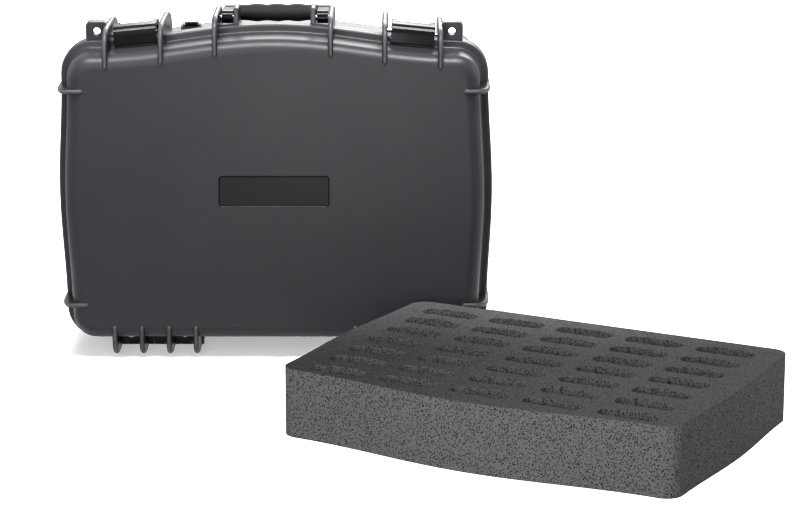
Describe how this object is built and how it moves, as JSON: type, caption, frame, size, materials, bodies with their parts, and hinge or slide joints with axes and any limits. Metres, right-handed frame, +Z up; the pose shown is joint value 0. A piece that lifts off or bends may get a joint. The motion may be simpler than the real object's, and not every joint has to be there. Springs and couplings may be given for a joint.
{
  "type": "microphone case",
  "caption": "Ribbed hard case with hinged lid, over-centre latches and folding handle, with its die-cut foam pocket insert standing beside it.",
  "frame": {"origin": "on the floor, under the middle of the case's parting plane", "axes": "+X across the lid to the right as the lid's face is seen, +Y from the lid to the base, +Z up from the hinge side to the latch side"},
  "size_m": [0.8183, 0.7087, 0.406],
  "materials": {
    "shell_plastic": "satin",
    "plate_plastic": "satin",
    "gloss_plastic": "gloss",
    "soft_rubber": "matte",
    "steel": "satin",
    "foam": "matte"
  },
  "bodies": {
    "lid": {"lid_shell": "shell_plastic", "name_plate": "plate_plastic", "lid_seal": "soft_rubber", "lid_pad": "foam", "hinge_leaf_lid_left": "gloss_plastic", "hinge_leaf_lid_right": "gloss_plastic", "hinge_pin_left": "steel", "hinge_pin_right": "steel", "hinge_screws_lid": "steel"},
    "base": {"base_shell": "shell_plastic", "valve_body": "gloss_plastic", "valve_nut": "gloss_plastic", "valve_cap": "steel", "hinge_leaf_base_left": "gloss_plastic", "hinge_leaf_base_right": "gloss_plastic", "hinge_screws_base": "steel", "latch_pivot_left": "steel", "latch_pivot_right": "steel", "handle_pin_left": "steel", "handle_pin_right": "steel"},
    "latch_lever_left": {"latch_lever_left": "gloss_plastic", "link_pin_left": "steel"},
    "latch_lever_right": {"latch_lever_right": "gloss_plastic", "link_pin_right": "steel"},
    "latch_link_left": {"latch_link_left": "gloss_plastic"},
    "latch_link_right": {"latch_link_right": "gloss_plastic"},
    "handle": {"handle_frame": "gloss_plastic", "handle_grip": "soft_rubber"},
    "insert": {"insert_block": "foam", "insert_sheet": "foam"}
  },
  "joints": [
    {"name": "case_hinge", "type": "hinge", "parent": "lid", "child": "base", "pos_m": [0, 0, 0.0063], "axis": [-1, 0, 0], "range_deg": [0, 100]},
    {"name": "handle_fold", "type": "hinge", "parent": "base", "child": "handle", "pos_m": [0, 0.02, 0.39219], "axis": [1, 0, 0], "range_deg": [0, 105]},
    {"name": "insert_lift", "type": "slide", "parent": "lid", "child": "insert", "axis": [0, 0, 1], "range_m": [0, 0.2]},
    {"name": "latch_lever_left_pivot", "type": "hinge", "parent": "base", "child": "latch_lever_left", "pos_m": [-0.16079, 0.018, 0.37401], "axis": [0.9954, 0, 0.0957], "range_deg": [0, 110]},
    {"name": "latch_link_left_pivot", "type": "hinge", "parent": "latch_lever_left", "child": "latch_link_left", "pos_m": [-0.16074, 0.03, 0.37351], "axis": [0.9954, 0, 0.0957], "range_deg": [-110, 0]},
    {"name": "latch_lever_right_pivot", "type": "hinge", "parent": "base", "child": "latch_lever_right", "pos_m": [0.16079, 0.018, 0.37401], "axis": [0.9954, 0, -0.0957], "range_deg": [0, 110]},
    {"name": "latch_link_right_pivot", "type": "hinge", "parent": "latch_lever_right", "child": "latch_link_right", "pos_m": [0.16074, 0.03, 0.37351], "axis": [0.9954, 0, -0.0957], "range_deg": [-110, 0]}
  ],
  "couplings": [
    {"joint": "latch_link_left_pivot", "follows": "latch_lever_left_pivot", "ratio": -1},
    {"joint": "latch_link_right_pivot", "follows": "latch_lever_right_pivot", "ratio": -1}
  ]
}
